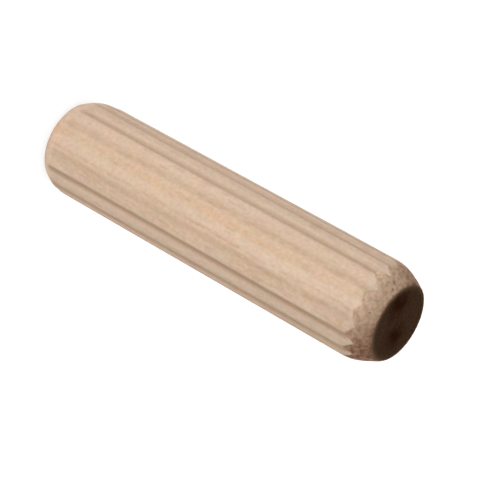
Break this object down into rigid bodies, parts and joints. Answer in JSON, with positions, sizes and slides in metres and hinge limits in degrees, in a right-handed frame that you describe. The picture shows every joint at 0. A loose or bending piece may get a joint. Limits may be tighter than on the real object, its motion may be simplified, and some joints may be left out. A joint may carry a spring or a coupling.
{
  "type": "dowel pin",
  "caption": "Fluted wooden dowel pin: a short round rod with grooves pressed along its length and its ends eased to enter a drilled hole.",
  "frame": {"origin": "middle of the foot, the flat end face that the pin stands on", "axes": "+Z along the pin from its foot to its top; one flute faces +X and one faces -X"},
  "size_m": [0.0096, 0.0096, 0.04],
  "materials": {
    "beech": "bare turned and pressed beech, matt, with rougher cut ends"
  },
  "bodies": {
    "root": {"dowel_pin": "beech"}
  },
  "joints": []
}
